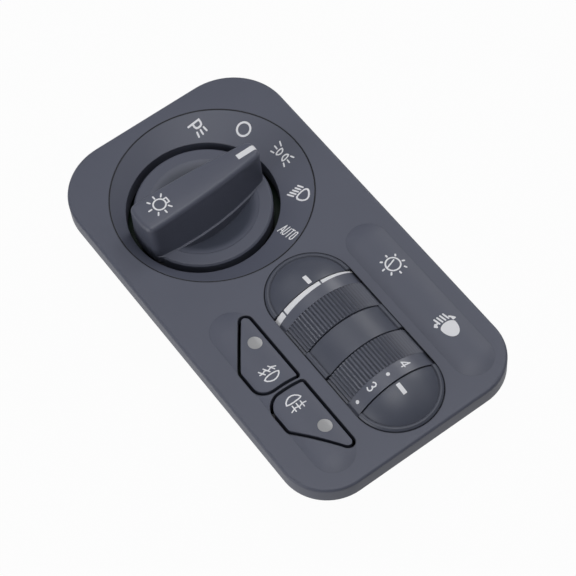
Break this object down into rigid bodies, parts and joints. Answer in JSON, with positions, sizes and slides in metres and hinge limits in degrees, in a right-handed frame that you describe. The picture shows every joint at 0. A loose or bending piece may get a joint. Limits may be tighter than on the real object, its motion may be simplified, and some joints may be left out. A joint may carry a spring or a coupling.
{
  "type": "headlight switch",
  "caption": "Dashboard headlight switch: rotary light knob in a dished dial, thumbwheels for dimming and beam height, fog lamp push buttons, plug socket on the back.",
  "frame": {"origin": "middle of the panel's seat plane, where the skirt of the front panel bears on the dashboard", "axes": "+X along the panel from the knob to the levelling wheel, +Y up as installed, +Z out of the face towards the driver"},
  "size_m": [0.12, 0.065, 0.0373],
  "materials": {
    "panel": "satin",
    "surround": "satin",
    "knob": "satin",
    "marking": "gloss",
    "wheel": "satin",
    "button": "satin",
    "window": "gloss",
    "housing": "matte",
    "inner_plastic": "matte",
    "board": "satin",
    "steel": "satin",
    "contacts": "satin",
    "lamps": "gloss",
    "light_guide": "gloss"
  },
  "bodies": {
    "housing": {"front_panel": "panel", "wheel_surround": "surround", "rear_housing": "housing", "back_cover": "housing", "circuit_board": "board", "connector_header": "inner_plastic", "connector_pins": "contacts", "housing_screws": "steel", "cover_screws": "steel", "board_screws": "steel", "bracket_screws": "steel", "wheel_bracket": "inner_plastic", "wheel_axle": "steel", "axle_clips": "steel", "dimmer_track": "board", "level_track": "board", "switch_body": "inner_plastic", "switch_bearing": "inner_plastic", "contact_plate": "inner_plastic", "knob_detent_spring": "steel", "front_fog_tact_switch": "inner_plastic", "rear_fog_tact_switch": "inner_plastic", "backlight_lamps": "lamps", "indicator_lamps": "lamps", "dial_light_guide": "light_guide", "symbol_light_guide": "light_guide", "spring_clips": "steel"},
    "knob": {"knob": "knob", "knob_pointer": "marking", "knob_spindle": "steel", "switch_rotor": "inner_plastic", "rotor_wipers": "contacts"},
    "dimmer": {"dimmer_wheel": "wheel", "dimmer_wiper": "contacts"},
    "levelling": {"level_wheel": "wheel", "level_wiper": "contacts"},
    "front_fog": {"front_fog_button": "button", "front_fog_lens": "window", "front_fog_plunger": "inner_plastic"},
    "rear_fog": {"rear_fog_button": "button", "rear_fog_lens": "window", "rear_fog_plunger": "inner_plastic"}
  },
  "joints": [
    {"name": "knob_turn", "type": "hinge", "parent": "housing", "child": "knob", "pos_m": [-0.0291, -0.0032, 0], "axis": [0, 0, 1], "range_deg": [-60, 60]},
    {"name": "dimmer_turn", "type": "hinge", "parent": "housing", "child": "dimmer", "pos_m": [0.018, 0.0024, -0.0061], "axis": [1, 0, 0], "range_deg": [-70, 70]},
    {"name": "level_turn", "type": "hinge", "parent": "housing", "child": "levelling", "pos_m": [0.0395, 0.0024, -0.0061], "axis": [1, 0, 0], "range_deg": [-126, 18]},
    {"name": "front_fog_press", "type": "slide", "parent": "housing", "child": "front_fog", "axis": [0, 0, -1], "range_m": [0, 0.001], "stiffness_N_per_m": 1500, "springref_m": -0.0005},
    {"name": "rear_fog_press", "type": "slide", "parent": "housing", "child": "rear_fog", "axis": [0, 0, -1], "range_m": [0, 0.001], "stiffness_N_per_m": 1500, "springref_m": -0.0005}
  ]
}
